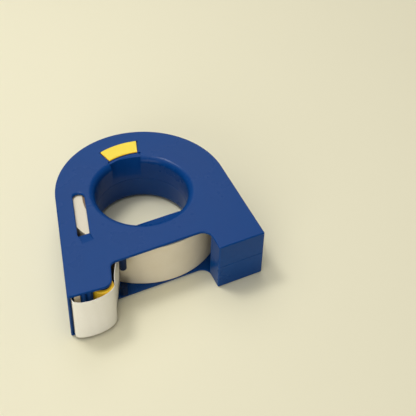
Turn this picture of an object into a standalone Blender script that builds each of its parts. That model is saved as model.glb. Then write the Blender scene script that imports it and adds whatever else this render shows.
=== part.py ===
"""Hand-held masking tape dispenser: two-part housing, tape roll, roller, cutter and slide catch."""
import math

import bmesh
import bpy
from mathutils import Matrix, Vector

# Housing outline, seen from above, with the arc's centre at zero; drops are measured from the cut-out's edge
thickness = 0.0400
arc_radius = 0.0624
left_lean = math.radians(15.8)
right_lean = math.radians(3.3)
tip_corner_drop = 0.0160
tip_drop_share = 0.09
tip_width = 0.030658
tip_side_drop = 0.0102
tip_side_slope = 0.35
tip_round = 0.0075
cut_roll_gap = 0.0002
cut_round = 0.0050
leg_top_x = 0.0241
leg_bottom_x = 0.0229
leg_round = 0.0068
leg_drop = 0.0196
corner_round = 0.0009
edge_round = 0.0010
wall = 0.0021
plate = 0.0016
leg_wall_top_drop = 0.0056
seam_gap = 0.0003

# Hand hole and hub
hole_x = -0.00125
hole_y = -0.0020
hub_wall = 0.00405
rim_round = 0.0052
chord_share = 0.8371

# Window slot in the upper half
slot_side_share = 0.68815
slot_y = -0.0079
slot_width = 0.0082
slot_top_y = 0.0156
slot_bottom_y = -0.0255
ramp_end_y = -0.0320
ramp_depth = 0.0013
ramp_inset = 0.0002

# Slide catch
catch_angle = math.radians(87.05)
catch_half = math.radians(16.4)
catch_rim_gap = 0.00145
catch_width_share = 0.50947
catch_swell_share = 0.024
catch_thick = 0.0010
catch_proud = 0.0002
catch_round = 0.0004
catch_side_gap = 0.0006
seat_depth = 0.0011
seat_edge = 0.0002
notch_over = 0.00025
notch_half = math.radians(19.6)
notch_depth = 0.0050
notch_ease = math.radians(0.05)
ledge_gap = 0.0005
foot_width = 0.0060
foot_length = 0.0030
foot_place_share = 0.4876
foot_travel = 0.0018

# Tape roll, core and loose tape
tape_side_gap = 0.0020
roll_wall_gap = 0.0037
core_inner = 0.0381
core_gap = 0.0006
core_wall = 0.0046
web_thick = 0.0004
web_end_gap = 0.00132
peel_angle = math.radians(-130.3)

# Roller, blade, strip, rest and posts
roller_side = 0.024053
roller_drop = 0.0128
roller_radius = 0.0074
roller_side_gap = 0.0027
roller_round = 0.0010
roller_bore = 0.0034
bush_length = 0.0060
bush_flange = 0.0050
bush_flange_thick = 0.0006
axle_radius = 0.0020
axle_clearance = 0.00008
boss_radius = 0.0036
boss_height = 0.0004
socket_depth = 0.0009
blade_thick = 0.0004
blade_top_drop = 0.0046
blade_tip_drop = 0.0168
tooth_height = 0.0011
tooth_pitch = 0.0018
strip_thick = 0.0040
blade_strip_gap = 0.0017
strip_top_drop = 0.0076
strip_bottom_drop = 0.0166
strip_low_z = 0.0067
clip_low_z = 0.0030
clip_gap = 0.0003
rest_roller_gap = 0.0008
rib_pitch = 0.0038
rest_top_drop = 0.0066
rest_crest_drop = 0.0170
rest_valley_drop = 0.0154
rest_ribs = 2
rib_half_share = 0.42
post_tape_gap = 0.00452
post_edge = 0.0024
post_radius = 0.00255
post_round = 0.0009
upper_post_length = 0.0111
lower_post_length = 0.0090

# Clearances and steps
gap = 0.0003
overrun = 0.0020
reach = 0.0300
arc_step = math.radians(5)
fine_step = math.radians(12)
small_steps = 4
merge = 0.000002

# The loose tape's way from the cutter round the roller, in shares of the roller's radius from its axis
web_shares = (
    (-3.149, -0.622), (-3.108, -0.932), (-2.851, -1.135), (-2.514, -1.297), (-1.919, -1.432),
    (-1.162, -1.473), (-0.392, -1.378), (0.216, -1.176), (0.680, -0.890), (0.970, -0.530),
    (1.095, -0.135), (1.235, 0.250), (1.560, 0.950), (2.304, 2.280),
)

BLUE, YELLOW, PAPER, CARD, STEEL, CREAM, DARK = (
    (0.035, 0.085, 0.245), (0.95, 0.66, 0.06), (0.83, 0.76, 0.60), (0.42, 0.30, 0.20),
    (0.55, 0.55, 0.56), (0.80, 0.68, 0.45), (0.05, 0.06, 0.09),
)

for old in list(bpy.data.objects):
    bpy.data.objects.remove(old)

scene_root = bpy.context.scene.collection
product = bpy.data.collections.new("masking_tape_dispenser")
scene_root.children.link(product)
helpers = bpy.data.collections.new("cutters")
scene_root.children.link(helpers)


def material(name, colour, roughness, metallic=0.0):
    made = bpy.data.materials.new(name)
    made.use_nodes = True
    shader = made.node_tree.nodes["Principled BSDF"]
    shader.inputs["Base Color"].default_value = (*colour, 1)
    shader.inputs["Roughness"].default_value = roughness
    shader.inputs["Metallic"].default_value = metallic
    return made


def place(mesh, name, look=None, at=(0, 0, 0)):
    """Adds the mesh as a part when it has a look, otherwise as a hidden cutter; its origin goes to at."""
    obj = bpy.data.objects.new(name, mesh)
    mesh.transform(Matrix.Translation(-Vector(at)))
    obj.location = at
    if look:
        product.objects.link(obj)
        mesh.materials.clear()
        mesh.materials.append(material(name, *look))
    else:
        helpers.objects.link(obj)
        obj.hide_render = True
        obj.display_type = "WIRE"
    return obj


def boolean(obj, other, operation="DIFFERENCE"):
    added = obj.modifiers.new(other.name, "BOOLEAN")
    added.object = other
    added.operation = operation
    added.solver = "EXACT"
    return obj


def bevel(obj, width, segments=2, degrees=40):
    added = obj.modifiers.new("edges", "BEVEL")
    added.width = width
    added.segments = segments
    added.limit_method = "ANGLE"
    added.angle_limit = math.radians(degrees)
    return obj


def prism_mesh(points, low, high, turn=None):
    """A flat closed curve through the points, filled and extruded from low to high, as a mesh."""
    curve = bpy.data.curves.new("outline", "CURVE")
    curve.dimensions = "2D"
    curve.fill_mode = "BOTH"
    curve.extrude = (high - low) / 2
    spline = curve.splines.new("POLY")
    spline.points.add(len(points) - 1)
    for dot, (x, y) in zip(spline.points, points):
        dot.co = (x, y, 0, 1)
    spline.use_cyclic_u = True
    holder = bpy.data.objects.new("outline", curve)
    scene_root.objects.link(holder)
    holder.location.z = (high + low) / 2
    bpy.context.view_layer.update()
    graph = bpy.context.evaluated_depsgraph_get()
    mesh = bpy.data.meshes.new_from_object(holder.evaluated_get(graph))
    mesh.transform(holder.matrix_world)
    if turn:
        mesh.transform(turn)
    bpy.data.objects.remove(holder)
    return cleaned(mesh)


def cleaned(mesh):
    shape = bmesh.new()
    shape.from_mesh(mesh)
    bmesh.ops.remove_doubles(shape, verts=shape.verts, dist=merge)
    bmesh.ops.recalc_face_normals(shape, faces=shape.faces)
    shape.to_mesh(mesh)
    shape.free()
    return mesh


def circle(x, y, radius, start=0.0, end=2 * math.pi, step=arc_step):
    """Points of an arc; a whole turn leaves out the repeated last point."""
    count = max(2, round(abs(end - start) / step))
    whole = abs(abs(end - start) - 2 * math.pi) < merge
    return [
        (x + radius * math.cos(start + (end - start) * i / count),
         y + radius * math.sin(start + (end - start) * i / count))
        for i in range(count + (0 if whole else 1))
    ]


def rounded(corners):
    """Outline through the corners (x, y, radius); each radius is drawn as an arc."""
    points = []
    for i, (x, y, radius) in enumerate(corners):
        here = Vector((x, y))
        before = (Vector(corners[i - 1][:2]) - here).normalized()
        after = (Vector(corners[(i + 1) % len(corners)][:2]) - here).normalized()
        if not radius:
            points.append((x, y))
            continue
        half = before.angle(after) / 2
        centre = here + (before + after).normalized() * radius / math.sin(half)
        first = here + before * radius / math.tan(half) - centre
        turn = math.pi - 2 * half
        side = 1 if before.x * after.y - before.y * after.x < 0 else -1
        count = max(2, round(turn / fine_step))
        for k in range(count + 1):
            swing = Matrix.Rotation(side * turn * k / count, 2)
            points.append(tuple(centre + swing @ first))
    return points


def turned(name, look, x, y, profile, steps, closed=True):
    """A Screw of the profile (radius, z) about an upright axis; an open one starts and ends on the axis."""
    shape = bmesh.new()
    dots = [shape.verts.new((r, 0, z)) for r, z in profile]
    for a, b in zip(dots, dots[1:] + (dots[:1] if closed else [])):
        shape.edges.new((a, b))
    mesh = bpy.data.meshes.new(name)
    shape.to_mesh(mesh)
    shape.free()
    obj = place(mesh, name, look)
    obj.location = (x, y, 0)
    spin = obj.modifiers.new("turn", "SCREW")
    spin.steps = spin.render_steps = steps
    spin.use_merge_vertices = True
    spin.merge_threshold = merge
    return obj


def side_profile(radius, low, high, soft_low=0.0, soft_high=0.0):
    """The outer side of a round bar from top to bottom, with its edges cut back."""
    top = [(radius - soft_high, high), (radius, high - soft_high)] if soft_high else [(radius, high)]
    bottom = [(radius, low + soft_low), (radius - soft_low, low)] if soft_low else [(radius, low)]
    return top + bottom


def ring(name, look, x, y, inner, outer, low, high, steps, soft=0.0):
    profile = side_profile(outer, low, high, soft, soft) + [(inner, low), (inner, high)]
    return turned(name, look, x, y, profile, steps)


def disc(name, look, x, y, radius, low, high, steps=32, soft_low=0.0, soft_high=0.0):
    profile = [(0, high)] + side_profile(radius, low, high, soft_low, soft_high) + [(0, low)]
    return turned(name, look, x, y, profile, steps, False)


def left_x(y, inset=0.0):
    """The left wall's x at this y, moved inwards by inset."""
    start = Vector((math.cos(math.pi - left_lean), math.sin(math.pi - left_lean))) * arc_radius
    return start.x - (start.y - y) * math.tan(left_lean) + inset / math.cos(left_lean)


def right_x(y, inset=0.0):
    start = Vector((math.cos(-right_lean), math.sin(-right_lean))) * arc_radius
    return start.x - (start.y - y) * math.tan(right_lean) - inset / math.cos(right_lean)


# Sizes and places that follow from the ones above
tape_width = thickness - 2 * tape_side_gap
tape_radius = arc_radius - wall - roll_wall_gap
roller_length = thickness - 2 * roller_side_gap
cut_y = hole_y - tape_radius + cut_roll_gap
tip_corner_y = cut_y - tip_corner_drop
tip_side_y = cut_y - tip_side_drop
leg_y = cut_y - leg_drop
leg_wall_top_y = cut_y - leg_wall_top_drop
roller_y = cut_y - roller_drop
blade_top_y = cut_y - blade_top_drop
blade_tip_y = cut_y - blade_tip_drop
strip_top_y = cut_y - strip_top_drop
strip_bottom_y = cut_y - strip_bottom_drop
rest_top_y = cut_y - rest_top_drop
rest_crest_y = cut_y - rest_crest_drop
rest_valley_y = cut_y - rest_valley_drop
hub_radius = core_inner - core_gap
hole_radius = hub_radius - hub_wall
chord_drop = hole_radius * chord_share
band = arc_radius - hole_radius - rim_round
catch_inner = hole_radius + rim_round + catch_rim_gap
catch_outer = catch_inner + band * catch_width_share
foot_radius = catch_inner + (catch_outer - catch_inner) * foot_place_share
notch_radius = hub_radius + notch_over
ledge_radius = catch_inner - ledge_gap
slot_x = left_x(slot_y, band * slot_side_share)
tip_side_x = left_x(tip_side_y, tip_width)
roller_x = left_x(roller_y, roller_side)
peel_radius = tape_radius + web_end_gap
web_path = [(roller_x + roller_radius * x, roller_y + roller_radius * y) for x, y in web_shares]
web_path.append((hole_x + peel_radius * math.cos(peel_angle), hole_y + peel_radius * math.sin(peel_angle)))
(low_x, low_y), (high_x, high_y) = web_path[-2:]
post_y = cut_y + post_edge
post_x = low_x + (high_x - low_x) * (post_y - low_y) / (high_y - low_y) + post_tape_gap


def tip_side(y):
    return tip_side_x + tip_side_slope * (y - tip_side_y)


def tip_foot():
    """Where the tip's lower edge meets its inner side."""
    run = tip_side(0) - left_x(tip_corner_y)
    y = (tip_corner_y - tip_drop_share * run) / (1 + tip_drop_share * tip_side_slope)
    return tip_side(y), y


def outline():
    arc = circle(0, 0, arc_radius, -right_lean, math.pi - left_lean)
    corners = [(x, y, 0) for x, y in arc]
    corners += [
        (left_x(tip_corner_y), tip_corner_y, corner_round),
        (*tip_foot(), tip_round),
        (tip_side(cut_y), cut_y, cut_round),
        (leg_top_x, cut_y, leg_round),
        (leg_bottom_x, leg_y, corner_round),
        (right_x(leg_y), leg_y, corner_round),
    ]
    return rounded(corners)


def cavity():
    """The space inside the walls; it runs out through the open sides."""
    below = leg_y - overrun - overrun
    arc = circle(0, 0, arc_radius - wall, -right_lean, math.pi - left_lean)
    return arc + [
        (left_x(below, wall), below),
        (leg_bottom_x - reach / 2, below),
        (leg_bottom_x - reach / 2, leg_wall_top_y),
        (leg_top_x + wall, leg_wall_top_y),
        (leg_bottom_x + wall, leg_y + wall),
        (right_x(leg_y + wall, wall), leg_y + wall),
    ]


def hole_mesh(name):
    """The hand hole as a loft of rings: round at both faces, flat-sided between, with a curved rim."""
    rows = 6
    depths = [-overrun] + [rim_round * (1 - math.cos(math.pi / 2 * i / rows)) for i in range(rows + 1)]
    levels = [(thickness - d, d) for d in depths] + [(d, d) for d in reversed(depths)]
    side = math.acos(chord_drop / hole_radius)
    turns = circle(0, 0, 1, side - math.pi / 2, 1.5 * math.pi - side)
    chord = [Vector((hole_radius * math.sin(side) * s, -chord_drop)) for s in (-0.6, -0.2, 0.2, 0.6)]
    spots = [Vector(t) * hole_radius for t in turns] + chord
    shape = bmesh.new()
    loops = []
    for z, depth in levels:
        share = math.sqrt(max(0.0, 1 - (1 - max(depth, 0) / rim_round) ** 2))
        loop = []
        for spot in spots:
            wide = spot.normalized() * (hole_radius + rim_round)
            at = wide.lerp(spot, share)
            loop.append(shape.verts.new((at.x + hole_x, at.y + hole_y, z)))
        loops.append(loop)
    count = len(spots)
    for upper, lower in zip(loops, loops[1:]):
        for i in range(count):
            shape.faces.new((upper[i], lower[i], lower[(i + 1) % count], upper[(i + 1) % count]))
    shape.faces.new(loops[0])
    shape.faces.new(list(reversed(loops[-1])))
    bmesh.ops.recalc_face_normals(shape, faces=shape.faces)
    mesh = bpy.data.meshes.new(name)
    shape.to_mesh(mesh)
    shape.free()
    return mesh


def swollen(radius, start, end):
    """An arc about the hub that lies further out on its right side, as the catch does."""
    points = []
    for x, y in circle(0, 0, radius, catch_angle + start, catch_angle + end):
        turn = math.atan2(y, x) - catch_angle
        grow = 1 - catch_swell_share * turn / catch_half
        points.append((hole_x + x * grow, hole_y + y * grow))
    return points


def sector(inner, outer, half):
    """An arc-shaped plate about the hub's axis, centred on the catch."""
    return swollen(outer, -half, half) + swollen(inner, half, -half)


def box_points(x, y, width, height):
    return [(x - width / 2, y - height / 2), (x + width / 2, y - height / 2),
            (x + width / 2, y + height / 2), (x - width / 2, y + height / 2)]


def cutter(name, points, low, high):
    return place(prism_mesh(points, low, high), name)


def slot_outline():
    """The slot's sides lean with the left wall; its top is round and its bottom is level."""
    half = slot_width / 2 / math.cos(left_lean)

    def middle(y):
        return slot_x + (y - slot_y) * math.tan(left_lean)

    centre_y = slot_top_y - slot_width / 2
    top = circle(middle(centre_y), centre_y, slot_width / 2, -left_lean, math.pi - left_lean, fine_step)
    low = middle(slot_bottom_y)
    return top + [(low - half, slot_bottom_y), (low + half, slot_bottom_y)]


def ramp_mesh(name):
    """A wedge that rises from the slot's floor to the face."""
    low = slot_x + (slot_bottom_y - slot_y) * math.tan(left_lean)
    half = slot_width / 2 / math.cos(left_lean) - ramp_inset
    run = ramp_end_y - slot_bottom_y
    side = [(overrun, thickness - ramp_depth), (0, thickness - ramp_depth), (run, thickness),
            (run, thickness + overrun), (overrun, thickness + overrun)]
    turn = Matrix(((0, 0, 1, low), (1, 0, 0, slot_bottom_y), (0, 1, 0, 0), (0, 0, 0, 1)))
    return prism_mesh(side, -half, half, turn)


def shell(name, low, high, plate_z):
    """One half of the housing, from low to high, with its hub, hole and axle socket."""
    body = place(prism_mesh(outline(), 0, thickness), name, (BLUE, 0.42))
    bevel(body, edge_round)
    inside = cutter(name + "_inside", cavity(), plate, thickness - plate)
    hub = cutter(name + "_hub", circle(hole_x, hole_y, hub_radius), -overrun, thickness + overrun)
    boolean(inside, hub)
    boolean(body, inside)
    far = cutter(name + "_far", box_points(0, 0, reach * 9, reach * 9), low, high)
    boolean(body, far, "INTERSECT")
    boss = disc(name + "_boss", None, roller_x, roller_y, boss_radius, plate_z[0], plate_z[1])
    boolean(body, boss, "UNION")
    socket = disc(name + "_socket", None, roller_x, roller_y, axle_radius + axle_clearance, plate_z[2],
                  plate_z[3])
    boolean(body, socket)
    boolean(body, place(hole_mesh(name + "_hole"), name + "_hole"))
    return body


middle_z = thickness / 2
seam = seam_gap / 2
lower_levels = (plate / 2, plate + boss_height, plate - socket_depth, plate + boss_height + overrun)
lower_shell = shell("lower_shell", -overrun, middle_z - seam, lower_levels)
upper_levels = [thickness - z for z in (lower_levels[1], lower_levels[0], lower_levels[3], lower_levels[2])]
upper_shell = shell("upper_shell", middle_z + seam, thickness + overrun, upper_levels)

above = thickness + overrun
boolean(upper_shell, cutter("slot", slot_outline(), middle_z + seam, above))
boolean(upper_shell, place(ramp_mesh("ramp"), "ramp"))
catch_gap_half = catch_half + catch_side_gap / catch_inner
seat = (
    swollen(catch_outer + seat_edge, -catch_gap_half, catch_gap_half)
    + swollen(ledge_radius, catch_gap_half, notch_half)
    + swollen(hole_radius / 2, notch_half, -notch_half)
    + swollen(ledge_radius, -notch_half, -catch_gap_half)
)
boolean(upper_shell, cutter("seat", seat, thickness - seat_depth, above))
boolean(upper_shell, cutter("notch", sector(hole_radius / 2 + gap, notch_radius, notch_half - notch_ease),
                            thickness - notch_depth, above + gap))


def along_catch(radius):
    return hole_x + radius * math.cos(catch_angle), hole_y + radius * math.sin(catch_angle)


foot_slot = place(
    prism_mesh(box_points(0, 0, foot_width + gap + gap, foot_length + foot_travel + gap + gap),
               thickness - plate - overrun, above,
               Matrix.Translation((*along_catch(foot_radius - foot_travel / 2), 0))
               @ Matrix.Rotation(catch_angle - math.pi / 2, 4, "Z")), "foot_slot")
boolean(upper_shell, foot_slot)

catch_low = thickness + catch_proud - catch_thick
latch_button = place(prism_mesh(sector(catch_inner, catch_outer, catch_half), catch_low,
                                thickness + catch_proud), "latch_button", (YELLOW, 0.38),
                     (*along_catch(foot_radius), thickness))
bevel(latch_button, catch_round, 2, 50)
foot = place(prism_mesh(box_points(0, 0, foot_width, foot_length), thickness - plate + gap / 2,
                        catch_low + catch_thick / 2,
                        Matrix.Translation((*along_catch(foot_radius), 0))
                        @ Matrix.Rotation(catch_angle - math.pi / 2, 4, "Z")), "foot")
boolean(latch_button, foot, "UNION")

tape_low = (thickness - tape_width) / 2
tape_high = thickness - tape_low
tape_roll = ring("tape_roll", (PAPER, 0.75), hole_x, hole_y, core_inner + core_wall + gap, tape_radius,
                 tape_low, tape_high, 72)
roll_core = ring("roll_core", (CARD, 0.85), hole_x, hole_y, core_inner, core_inner + core_wall,
                 tape_low, tape_high, 60)


def smooth_path(points, steps=3):
    """A curve through every point."""
    spots = [Vector(p) for p in points]
    spots = [spots[0] * 2 - spots[1]] + spots + [spots[-1] * 2 - spots[-2]]
    path = []
    for a, b, c, d in zip(spots, spots[1:], spots[2:], spots[3:]):
        for i in range(steps):
            t = i / steps
            path.append((b * 2 + (c - a) * t + (a * 2 - b * 5 + c * 4 - d) * t * t
                         + (b * 3 - a - c * 3 + d) * t * t * t) / 2)
    return path + [spots[-2]]


def ribbon(points, thick):
    """The outline of a band of this thickness along the points."""
    left, right = [], []
    for i, here in enumerate(points):
        along = (points[min(i + 1, len(points) - 1)] - points[max(i - 1, 0)]).normalized()
        across = Vector((-along.y, along.x)) * thick / 2
        left.append(tuple(here + across))
        right.append(tuple(here - across))
    return left + right[::-1]


tape_web = place(prism_mesh(ribbon(smooth_path(web_path), web_thick), tape_low, tape_high), "tape_web",
                 (PAPER, 0.7))

roller_low = (thickness - roller_length) / 2
roller_high = thickness - roller_low
roller_sleeve = ring("roller_sleeve", (YELLOW, 0.5), roller_x, roller_y, roller_bore, roller_radius,
                     roller_low + bush_flange_thick + gap / 3, roller_high - bush_flange_thick - gap / 3, 36,
                     roller_round)
roller_axle = disc("roller_axle", (STEEL, 0.3, 1.0), roller_x, roller_y, axle_radius,
                   plate - socket_depth + gap / 2, thickness - plate + socket_depth - gap / 2, 24)


def bush(name, low, high, flange_low):
    """A bush on the axle: a tube inside the sleeve, with a flange outside it."""
    inner = axle_radius + axle_clearance
    tube = roller_bore - gap / 2
    if flange_low:
        step = low + bush_flange_thick
        profile = [(tube, high), (tube, step), (bush_flange, step), (bush_flange, low), (inner, low),
                   (inner, high)]
    else:
        step = high - bush_flange_thick
        profile = [(bush_flange, high), (bush_flange, step), (tube, step), (tube, low), (inner, low),
                   (inner, high)]
    turned(name, (DARK, 0.5), roller_x, roller_y, profile, 24)


bush("roller_bush_lower", roller_low, roller_low + bush_length, True)
bush("roller_bush_upper", roller_high - bush_length, roller_high, False)

# Blade, strip, clip and rest follow the left wall's lean
blade_in = wall + gap
strip_in = blade_in + blade_thick + blade_strip_gap
rest_in = strip_in + strip_thick + gap


def leaning(top_y, bottom_y, near, far):
    return [(left_x(bottom_y, near), bottom_y), (left_x(bottom_y, far), bottom_y),
            (left_x(top_y, far), top_y), (left_x(top_y, near), top_y)]


def blade_mesh():
    """The blade's outline with its teeth, extruded through its thickness and leant with the wall."""
    length = (blade_top_y - blade_tip_y) / math.cos(left_lean)
    count = round(tape_width / tooth_pitch)
    edge = [(tape_low, 0), (tape_low, -length + tooth_height)]
    for i in range(count):
        start = tape_low + tape_width * i / count
        step = tape_width / count
        edge += [(start + step / 2, -length), (start + step, -length + tooth_height)]
    edge += [(tape_high, 0)]
    along = Vector((math.sin(left_lean), math.cos(left_lean), 0))
    inward = Vector((math.cos(left_lean), -math.sin(left_lean), 0))
    start = Vector((left_x(blade_top_y, blade_in), blade_top_y, 0))
    turn = Matrix(((0, along.x, inward.x, start.x), (0, along.y, inward.y, start.y), (1, 0, 0, 0),
                   (0, 0, 0, 1)))
    return prism_mesh(edge, 0, blade_thick, turn)


place(blade_mesh(), "cutter_blade", (STEEL, 0.28, 1.0))
blade_strip = place(prism_mesh(leaning(strip_top_y, strip_bottom_y, strip_in, strip_in + strip_thick),
                               strip_low_z, thickness - plate - gap), "blade_strip", (CREAM, 0.5))
bevel(blade_strip, gap)
blade_clip = place(prism_mesh(leaning(strip_top_y, strip_bottom_y, strip_in, strip_in + strip_thick),
                              clip_low_z, strip_low_z - clip_gap), "blade_clip", (STEEL, 0.35, 1.0))
bevel(blade_clip, gap)


def rest_outline():
    """A block with round-topped ribs on its lower side."""
    left = left_x(rest_valley_y, rest_in)
    right = roller_x - roller_radius - rest_roller_gap
    points = [(left_x(rest_top_y, rest_in), rest_top_y), (left, rest_valley_y)]
    for i in range(rest_ribs):
        centre = left + rib_pitch * (i + 0.5)
        for x, y in circle(0, 0, 1, math.pi, 2 * math.pi, math.pi / 6):
            points.append((centre + x * rib_pitch * rib_half_share,
                           rest_valley_y - y * (rest_crest_y - rest_valley_y)))
    return points + [(right, rest_valley_y), (right, rest_top_y)]


place(prism_mesh(rest_outline(), plate + gap, thickness - plate - gap), "tape_rest", (BLUE, 0.45))

disc("upper_guide_post", (DARK, 0.4), post_x, post_y, post_radius, thickness - plate - upper_post_length,
     thickness - plate - gap / 2, 24, soft_low=post_round)
disc("lower_guide_post", (DARK, 0.4), post_x, post_y, post_radius, plate + gap / 2,
     plate + lower_post_length, 24, soft_high=post_round / 3)

# The origin goes to the middle of the base
bpy.context.view_layer.update()
graph = bpy.context.evaluated_depsgraph_get()
spots = []
for obj in product.objects:
    done = obj.evaluated_get(graph)
    spots += [done.matrix_world @ Vector(corner) for corner in done.bound_box]
shift = Vector([-(min(s[i] for s in spots) + max(s[i] for s in spots)) / 2 for i in (0, 1)] + [0])
for obj in list(product.objects) + list(helpers.objects):
    obj.location += shift
print("origin moved by", [round(v, 6) for v in shift])
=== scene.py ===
import math

import bmesh
import bpy
from mathutils import Matrix, Vector


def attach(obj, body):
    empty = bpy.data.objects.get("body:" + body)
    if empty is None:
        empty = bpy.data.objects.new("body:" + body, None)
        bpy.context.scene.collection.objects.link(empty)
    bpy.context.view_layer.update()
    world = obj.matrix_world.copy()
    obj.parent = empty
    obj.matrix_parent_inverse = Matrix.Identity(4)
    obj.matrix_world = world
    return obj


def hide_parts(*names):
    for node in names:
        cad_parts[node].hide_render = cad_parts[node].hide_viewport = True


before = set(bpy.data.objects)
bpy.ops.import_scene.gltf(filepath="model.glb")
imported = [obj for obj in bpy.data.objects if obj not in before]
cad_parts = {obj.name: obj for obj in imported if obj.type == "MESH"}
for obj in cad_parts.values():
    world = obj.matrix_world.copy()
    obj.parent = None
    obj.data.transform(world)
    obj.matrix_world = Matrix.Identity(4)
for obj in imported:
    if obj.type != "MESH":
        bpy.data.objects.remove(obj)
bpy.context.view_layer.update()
for name in ("Cube", "Light", "Camera"):
    if name in bpy.data.objects:
        bpy.data.objects.remove(bpy.data.objects[name])
print("frame loaded")

# ---- camera, set from the photograph's own view ----
view = {
    "place": (-0.190874, -0.473825, 0.531920),
    "right": (0.89368408, -0.44807469, 0.02361852),
    "up": (0.2983861, 0.63279362, 0.7145194),
    "forward": (0.33510371, 0.63150717, -0.69921685),
    "lens": 86.27,
    "sensor": 36.0,
}
cameraData = bpy.data.cameras.new("photoCamera")
cameraData.lens = view["lens"]
cameraData.sensor_width = view["sensor"]
cameraData.clip_start = 0.01
cameraData.clip_end = 20
camera = bpy.data.objects.new("photoCamera", cameraData)
bpy.context.scene.collection.objects.link(camera)
axes = Matrix((view["right"], view["up"], [-v for v in view["forward"]])).transposed()
camera.matrix_world = Matrix.Translation(view["place"]) @ axes.to_4x4()
bpy.context.scene.camera = camera

# ---- mesh helpers; plan points are measured from the centre of the housing's arc ----
arcCentre = Vector((0.011633, 0.00995, 0))


def arc(x, y, radius, start, end, step=math.radians(2)):
    count = max(2, math.ceil(abs(end - start) / step - 0.001))
    whole = abs(abs(end - start) - 2 * math.pi) < 0.0001
    spots = [start + (end - start) * i / count for i in range(count + (not whole))]
    return [(x + radius * math.cos(a), y + radius * math.sin(a)) for a in spots]


def roundedLoop(corners, step=math.radians(7)):
    points = []
    for i, (x, y, radius) in enumerate(corners):
        if not radius:
            points.append((x, y))
            continue
        here = Vector((x, y))
        before = (Vector(corners[i - 1][:2]) - here).normalized()
        after = (Vector(corners[(i + 1) % len(corners)][:2]) - here).normalized()
        half = before.angle(after) / 2
        centre = here + (before + after).normalized() * radius / math.sin(half)
        first = here + before * radius / math.tan(half) - centre
        turn = math.pi - 2 * half
        side = 1 if before.x * after.y - before.y * after.x < 0 else -1
        count = max(4, round(turn / step))
        for k in range(count + 1):
            points.append(tuple(centre + Matrix.Rotation(side * turn * k / count, 2) @ first))
    return points


def offsetLoop(points, distance):
    # moves a loop that runs anticlockwise outwards by distance, square to its edges
    spots = [Vector(p) for p in points]
    moved = []
    for i, here in enumerate(spots):
        before = (here - spots[i - 1]).normalized()
        after = (spots[(i + 1) % len(spots)] - here).normalized()
        normal = Vector((before.y + after.y, -before.x - after.x)).normalized()
        reach = max(0.5, normal.dot(Vector((before.y, -before.x))))
        moved.append(here + normal * distance / reach)
    return moved


squareCorners = ((-1, -1), (1, -1), (1, 1), (-1, 1))


def ring(points, z):
    return [Vector((p[0], p[1], z)) for p in points]


def loft(rings, ends=True, wrap=False):
    shape = bmesh.new()
    loops = [[shape.verts.new(p) for p in loop] for loop in rings]
    count = len(loops[0])
    pairs = list(zip(loops, loops[1:])) + ([(loops[-1], loops[0])] if wrap else [])
    for a, b in pairs:
        for i in range(count):
            j = (i + 1) % count
            shape.faces.new((a[i], a[j], b[j], b[i]))
    if ends and not wrap:
        shape.faces.new(loops[0])
        shape.faces.new(list(reversed(loops[-1])))
    bmesh.ops.recalc_face_normals(shape, faces=shape.faces)
    mesh = bpy.data.meshes.new("shape")
    shape.to_mesh(mesh)
    shape.free()
    return mesh


def held(mesh, name="tool"):
    obj = bpy.data.objects.new(name, mesh)
    bpy.context.scene.collection.objects.link(obj)
    return obj


def joined(base, tools, operation="DIFFERENCE"):
    # cuts or unites with exact Booleans and keeps the plain result
    for tool in tools:
        step = base.modifiers.new("step", "BOOLEAN")
        step.object = tool
        step.operation = operation
        step.solver = "EXACT"
    graph = bpy.context.evaluated_depsgraph_get()
    mesh = bpy.data.meshes.new_from_object(base.evaluated_get(graph))
    base.modifiers.clear()
    base.data = mesh
    for tool in tools:
        bpy.data.objects.remove(tool)
    return base


def filleted(points, low, high, lowRound, highRound, steps=6):
    # rings of a body whose lower and upper edges are rounded
    rings = []
    if lowRound:
        for k in range(steps + 1):
            swing = math.pi / 2 * k / steps
            rings.append(ring(offsetLoop(points, -lowRound * (1 - math.sin(swing))),
                              low + lowRound * (1 - math.cos(swing))))
    else:
        rings.append(ring(points, low))
    if highRound:
        for k in range(steps + 1):
            swing = math.pi / 2 * (1 - k / steps)
            rings.append(ring(offsetLoop(points, -highRound * (1 - math.sin(swing))),
                              high - highRound * (1 - math.cos(swing))))
    else:
        rings.append(ring(points, high))
    return rings


def spun(profile, x, y, steps=96, closed=True):
    # a turned shape: profile is (radius, z); an open one starts and ends on the axis
    turns = [2 * math.pi * i / steps for i in range(steps)]
    rings = [[Vector((x + r * math.cos(t), y + r * math.sin(t), z)) for t in turns] for r, z in profile]
    return loft(rings, ends=not closed, wrap=closed)


def softProfile(corners, radius, steps=3):
    # rounds each corner of a turned profile
    points = []
    for i, (r, z) in enumerate(corners):
        here = Vector((r, z))
        before = Vector(corners[i - 1]) - here
        after = Vector(corners[(i + 1) % len(corners)]) - here
        size = min(radius, before.length / 2.2, after.length / 2.2)
        start = here + before.normalized() * size
        end = here + after.normalized() * size
        for k in range(steps + 1):
            t = k / steps
            points.append(tuple(start * (1 - t) ** 2 + here * 2 * t * (1 - t) + end * t * t))
    return points


def piece(obj, name, body, material, nodes, sharp=38, weighted=True):
    # welds, shades and places a finished mesh under its body, and hides the frame's parts it stands for
    mesh = obj.data
    obj.name = mesh.name = name
    shape = bmesh.new()
    shape.from_mesh(mesh)
    bmesh.ops.remove_doubles(shape, verts=shape.verts, dist=0.000003)
    bmesh.ops.dissolve_degenerate(shape, edges=shape.edges, dist=0.000003)
    shape.to_mesh(mesh)
    shape.free()
    mesh.transform(Matrix.Translation(arcCentre))
    mesh.materials.clear()
    mesh.materials.append(material)
    mesh.shade_smooth()
    mesh.set_sharp_from_angle(angle=math.radians(sharp))
    if weighted:
        normals = obj.modifiers.new("faceWeights", "WEIGHTED_NORMAL")
        normals.keep_sharp = True
        normals.weight = 80
    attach(obj, body)
    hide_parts(*nodes)
    return obj


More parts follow.
